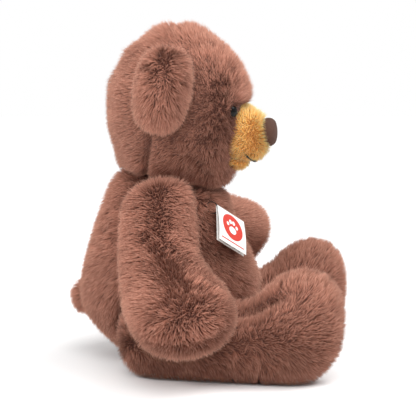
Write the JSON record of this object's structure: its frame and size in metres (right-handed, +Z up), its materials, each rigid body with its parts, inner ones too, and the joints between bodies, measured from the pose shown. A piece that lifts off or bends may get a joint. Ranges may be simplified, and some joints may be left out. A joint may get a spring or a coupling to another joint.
{
  "type": "jointed teddy bear",
  "caption": "Sitting plush bear with a round head, short gold muzzle, plump ears and tail, and head, arms and legs that turn on disc joints; a folded card hangs on its chest.",
  "frame": {"origin": "on the ground, under the middle of the bear's bounding box", "axes": "+Z up; the bear faces -Y, and its right side is at -X"},
  "size_m": [0.3378, 0.2252, 0.276],
  "materials": {
    "brown_plush": "long soft pile",
    "gold_plush": "clipped pile",
    "stuffing": "loose polyester fibre",
    "hardboard": "raw pressed board",
    "joint_nylon": "moulded, unpolished",
    "nose_cloth": "smooth short nap",
    "eye_black": "polished",
    "black_thread": "twisted",
    "tag_card": "uncoated card, with a plain red print"
  },
  "bodies": {
    "torso": {"torso_back_left_panel": "brown_plush", "torso_back_right_panel": "brown_plush", "torso_front_left_panel": "brown_plush", "torso_front_right_panel": "brown_plush", "torso_stuffing": "stuffing", "tail_upper_panel": "brown_plush", "tail_lower_panel": "brown_plush", "neck_washer": "hardboard", "right_shoulder_washer": "hardboard", "left_shoulder_washer": "hardboard", "right_hip_washer": "hardboard", "left_hip_washer": "hardboard", "hang_tag_loop": "black_thread"},
    "head": {"neck_disc": "joint_nylon", "neck_lock_ring": "joint_nylon", "head_back_left_panel": "brown_plush", "head_back_right_panel": "brown_plush", "head_cheek_left_panel": "brown_plush", "head_cheek_right_panel": "brown_plush", "head_gusset_panel": "brown_plush", "head_stuffing": "stuffing", "snout_panel": "gold_plush", "chin_panel": "gold_plush", "muzzle_stuffing": "stuffing", "nose": "nose_cloth", "mouth_thread": "black_thread", "right_eye": "eye_black", "right_eye_washer": "joint_nylon", "left_eye": "eye_black", "left_eye_washer": "joint_nylon", "right_ear_back_panel": "brown_plush", "right_ear_front_panel": "brown_plush", "left_ear_back_panel": "brown_plush", "left_ear_front_panel": "brown_plush"},
    "right_arm": {"right_shoulder_disc": "joint_nylon", "right_shoulder_lock_ring": "joint_nylon", "right_arm_outer_panel": "brown_plush", "right_arm_inner_panel": "brown_plush", "right_arm_stuffing": "stuffing"},
    "left_arm": {"left_shoulder_disc": "joint_nylon", "left_shoulder_lock_ring": "joint_nylon", "left_arm_outer_panel": "brown_plush", "left_arm_inner_panel": "brown_plush", "left_arm_stuffing": "stuffing"},
    "right_leg": {"right_hip_disc": "joint_nylon", "right_hip_lock_ring": "joint_nylon", "right_leg_outer_panel": "brown_plush", "right_leg_inner_panel": "brown_plush", "right_leg_sole_panel": "brown_plush", "right_leg_stuffing": "stuffing"},
    "left_leg": {"left_hip_disc": "joint_nylon", "left_hip_lock_ring": "joint_nylon", "left_leg_outer_panel": "brown_plush", "left_leg_inner_panel": "brown_plush", "left_leg_sole_panel": "brown_plush", "left_leg_stuffing": "stuffing"},
    "tag": {"hang_tag": "tag_card"}
  },
  "joints": [
    {"name": "neck_turn", "type": "hinge", "parent": "torso", "child": "head", "pos_m": [0.00767, 0.02406, 0.15], "axis": [0, -0.2079, 0.9781], "continuous": true},
    {"name": "right_shoulder", "type": "hinge", "parent": "torso", "child": "right_arm", "pos_m": [-0.04133, 0.02606, 0.119], "axis": [-0.8794, 0.2193, 0.4226], "range_deg": [-60, 80]},
    {"name": "left_shoulder", "type": "hinge", "parent": "torso", "child": "left_arm", "pos_m": [0.05667, 0.02606, 0.119], "axis": [-0.8794, -0.2193, -0.4226], "range_deg": [-85, 55]},
    {"name": "right_hip", "type": "hinge", "parent": "torso", "child": "right_leg", "pos_m": [-0.04133, 0.03106, 0.031], "axis": [-0.9877, 0.1564, 0], "range_deg": [-90, 5]},
    {"name": "left_hip", "type": "hinge", "parent": "torso", "child": "left_leg", "pos_m": [0.05667, 0.03106, 0.031], "axis": [-0.9877, -0.1564, 0], "range_deg": [-90, 5]},
    {"name": "tag_swing", "type": "hinge", "parent": "torso", "child": "tag", "pos_m": [-0.02988, -0.0138, 0.12914], "axis": [-0.9147, 0.3612, -0.1815], "range_deg": [0, 45]}
  ]
}
